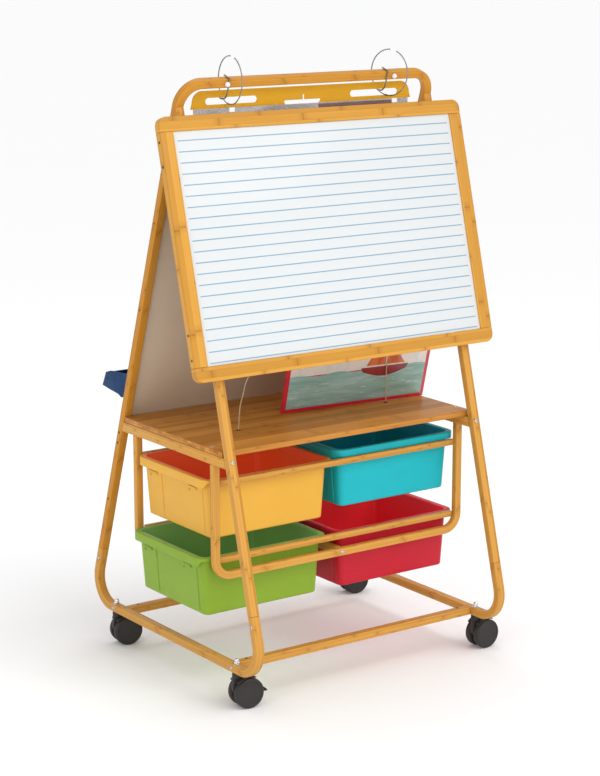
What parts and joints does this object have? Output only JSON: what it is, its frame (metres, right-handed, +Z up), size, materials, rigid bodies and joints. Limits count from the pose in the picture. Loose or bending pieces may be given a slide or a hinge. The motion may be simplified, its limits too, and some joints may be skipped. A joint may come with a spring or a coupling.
{
  "type": "flip chart easel",
  "caption": "Double-sided classroom easel in laminated bamboo with a lined whiteboard, rear board and marker tray, shelf, pull-out tubs, hanging chart holder and twin-wheel casters.",
  "frame": {"origin": "centre of the footprint, on the floor", "axes": "+X to the right along the whiteboard as a writer faces it, +Y from the whiteboard side to the rear board, +Z up"},
  "size_m": [0.8846, 0.7513, 1.5125],
  "materials": {
    "bamboo": "satin lacquer on laminated bamboo, strips showing",
    "whiteboard_steel": "gloss white enamel with pale blue ruled lines",
    "grey_board": "matte grey writing board",
    "blue_plastic": "gloss moulded",
    "black_plastic": "satin moulded nylon",
    "bright_steel": "bright plated",
    "yellow_plastic": "gloss moulded",
    "green_plastic": "gloss moulded",
    "teal_plastic": "gloss moulded",
    "red_plastic": "gloss moulded",
    "hanger_yellow": "gloss moulded",
    "clear_film": "smoky clear film",
    "elastic": "woven elastic",
    "book_cover": "coated board with a red border"
  },
  "bodies": {
    "frame": {"rear_frame": "bamboo", "rear_corner_left": "bamboo", "rear_corner_right": "bamboo", "front_leg_left": "bamboo", "front_leg_right": "bamboo", "front_corner_left": "bamboo", "front_corner_right": "bamboo", "base_bar_left": "bamboo", "base_bar_right": "bamboo", "front_crossbar": "bamboo", "rear_crossbar": "bamboo", "board_rail_top": "bamboo", "board_rail_bottom": "bamboo", "board_rail_left": "bamboo", "board_rail_right": "bamboo", "shelf_board": "bamboo", "shelf_cleat_left": "bamboo", "shelf_cleat_right": "bamboo", "tub_frame_front": "bamboo", "tub_frame_rear": "bamboo", "tub_rail_upper_front": "bamboo", "tub_rail_upper_rear": "bamboo", "tub_rail_lower_front": "bamboo", "tub_rail_lower_rear": "bamboo", "tub_frame_stretcher": "bamboo", "whiteboard_sheet": "whiteboard_steel", "rear_panel": "grey_board", "marker_tray": "blue_plastic", "hook_left": "bright_steel", "hook_right": "bright_steel", "elastic_cord_left": "elastic", "elastic_cord_right": "elastic", "display_book": "book_cover", "caster_stem_front_left": "bright_steel", "caster_stem_front_right": "bright_steel", "caster_stem_rear_left": "bright_steel", "caster_stem_rear_right": "bright_steel"},
    "caster_front_left": {"caster_body_front_left": "black_plastic"},
    "wheel_front_left_outer": {"caster_wheel_front_left_outer": "black_plastic"},
    "wheel_front_left_inner": {"caster_wheel_front_left_inner": "black_plastic"},
    "brake_front_left": {"brake_pedal_front_left": "black_plastic"},
    "caster_front_right": {"caster_body_front_right": "black_plastic"},
    "wheel_front_right_outer": {"caster_wheel_front_right_outer": "black_plastic"},
    "wheel_front_right_inner": {"caster_wheel_front_right_inner": "black_plastic"},
    "caster_rear_left": {"caster_body_rear_left": "black_plastic"},
    "wheel_rear_left_outer": {"caster_wheel_rear_left_outer": "black_plastic"},
    "wheel_rear_left_inner": {"caster_wheel_rear_left_inner": "black_plastic"},
    "caster_rear_right": {"caster_body_rear_right": "black_plastic"},
    "wheel_rear_right_outer": {"caster_wheel_rear_right_outer": "black_plastic"},
    "wheel_rear_right_inner": {"caster_wheel_rear_right_inner": "black_plastic"},
    "brake_rear_right": {"brake_pedal_rear_right": "black_plastic"},
    "tub_yellow": {"tub_yellow": "yellow_plastic"},
    "tub_green": {"tub_green": "green_plastic"},
    "tub_teal": {"tub_teal": "teal_plastic"},
    "tub_red": {"tub_red": "red_plastic"},
    "chart_hanger": {"hanger": "hanger_yellow", "chart_bag": "clear_film"},
    "ring_left": {"ring_left": "bright_steel"},
    "ring_right": {"ring_right": "bright_steel"}
  },
  "joints": [
    {"name": "caster_front_left_swivel", "type": "hinge", "parent": "frame", "child": "caster_front_left", "pos_m": [-0.366, -0.2745, 0.0375], "axis": [0, 0, 1], "continuous": true},
    {"name": "wheel_front_left_outer_spin", "type": "hinge", "parent": "caster_front_left", "child": "wheel_front_left_outer", "pos_m": [-0.34213, -0.27701, 0.0375], "axis": [0.1045, 0.9945, 0], "continuous": true},
    {"name": "wheel_front_left_inner_spin", "type": "hinge", "parent": "caster_front_left", "child": "wheel_front_left_inner", "pos_m": [-0.34213, -0.27701, 0.0375], "axis": [0.1045, 0.9945, 0], "continuous": true},
    {"name": "brake_front_left_press", "type": "hinge", "parent": "caster_front_left", "child": "brake_front_left", "pos_m": [-0.3118, -0.2802, 0.036], "axis": [0.1045, 0.9945, 0], "range_deg": [0, 12]},
    {"name": "caster_front_right_swivel", "type": "hinge", "parent": "frame", "child": "caster_front_right", "pos_m": [0.366, -0.2745, 0.0375], "axis": [0, 0, 1], "continuous": true},
    {"name": "wheel_front_right_outer_spin", "type": "hinge", "parent": "caster_front_right", "child": "wheel_front_right_outer", "pos_m": [0.38999, -0.27366, 0.0375], "axis": [-0.0349, 0.9994, 0], "continuous": true},
    {"name": "wheel_front_right_inner_spin", "type": "hinge", "parent": "caster_front_right", "child": "wheel_front_right_inner", "pos_m": [0.38999, -0.27366, 0.0375], "axis": [-0.0349, 0.9994, 0], "continuous": true},
    {"name": "caster_rear_left_swivel", "type": "hinge", "parent": "frame", "child": "caster_rear_left", "pos_m": [-0.366, 0.28, 0.0375], "axis": [0, 0, 1], "continuous": true},
    {"name": "wheel_rear_left_outer_spin", "type": "hinge", "parent": "caster_rear_left", "child": "wheel_rear_left_outer", "pos_m": [-0.3423, 0.27625, 0.0375], "axis": [0.1564, 0.9877, 0], "continuous": true},
    {"name": "wheel_rear_left_inner_spin", "type": "hinge", "parent": "caster_rear_left", "child": "wheel_rear_left_inner", "pos_m": [-0.3423, 0.27625, 0.0375], "axis": [0.1564, 0.9877, 0], "continuous": true},
    {"name": "caster_rear_right_swivel", "type": "hinge", "parent": "frame", "child": "caster_rear_right", "pos_m": [0.366, 0.28, 0.0375], "axis": [0, 0, 1], "continuous": true},
    {"name": "wheel_rear_right_outer_spin", "type": "hinge", "parent": "caster_rear_right", "child": "wheel_rear_right_outer", "pos_m": [0.38994, 0.27833, 0.0375], "axis": [0.0698, 0.9976, 0], "continuous": true},
    {"name": "wheel_rear_right_inner_spin", "type": "hinge", "parent": "caster_rear_right", "child": "wheel_rear_right_inner", "pos_m": [0.38994, 0.27833, 0.0375], "axis": [0.0698, 0.9976, 0], "continuous": true},
    {"name": "brake_rear_right_press", "type": "hinge", "parent": "caster_rear_right", "child": "brake_rear_right", "pos_m": [0.42037, 0.2762, 0.036], "axis": [0.0698, 0.9976, 0], "range_deg": [0, 12]},
    {"name": "tub_yellow_slide", "type": "slide", "parent": "frame", "child": "tub_yellow", "axis": [-1, 0, 0], "range_m": [0, 0.3]},
    {"name": "tub_green_slide", "type": "slide", "parent": "frame", "child": "tub_green", "axis": [-1, 0, 0], "range_m": [0, 0.3]},
    {"name": "tub_teal_slide", "type": "slide", "parent": "frame", "child": "tub_teal", "axis": [1, 0, 0], "range_m": [0, 0.3]},
    {"name": "tub_red_slide", "type": "slide", "parent": "frame", "child": "tub_red", "axis": [1, 0, 0], "range_m": [0, 0.3]},
    {"name": "chart_hanger_swing", "type": "hinge", "parent": "frame", "child": "chart_hanger", "pos_m": [0, -0.0385, 1.4135], "axis": [1, 0, 0], "range_deg": [-12, 7]},
    {"name": "ring_left_turn", "type": "hinge", "parent": "frame", "child": "ring_left", "pos_m": [-0.2315, -0.0605, 1.4545], "axis": [0.9976, -0.0698, 0], "continuous": true},
    {"name": "ring_right_turn", "type": "hinge", "parent": "frame", "child": "ring_right", "pos_m": [0.238, -0.0605, 1.4545], "axis": [0.9703, 0.2419, 0], "continuous": true}
  ]
}
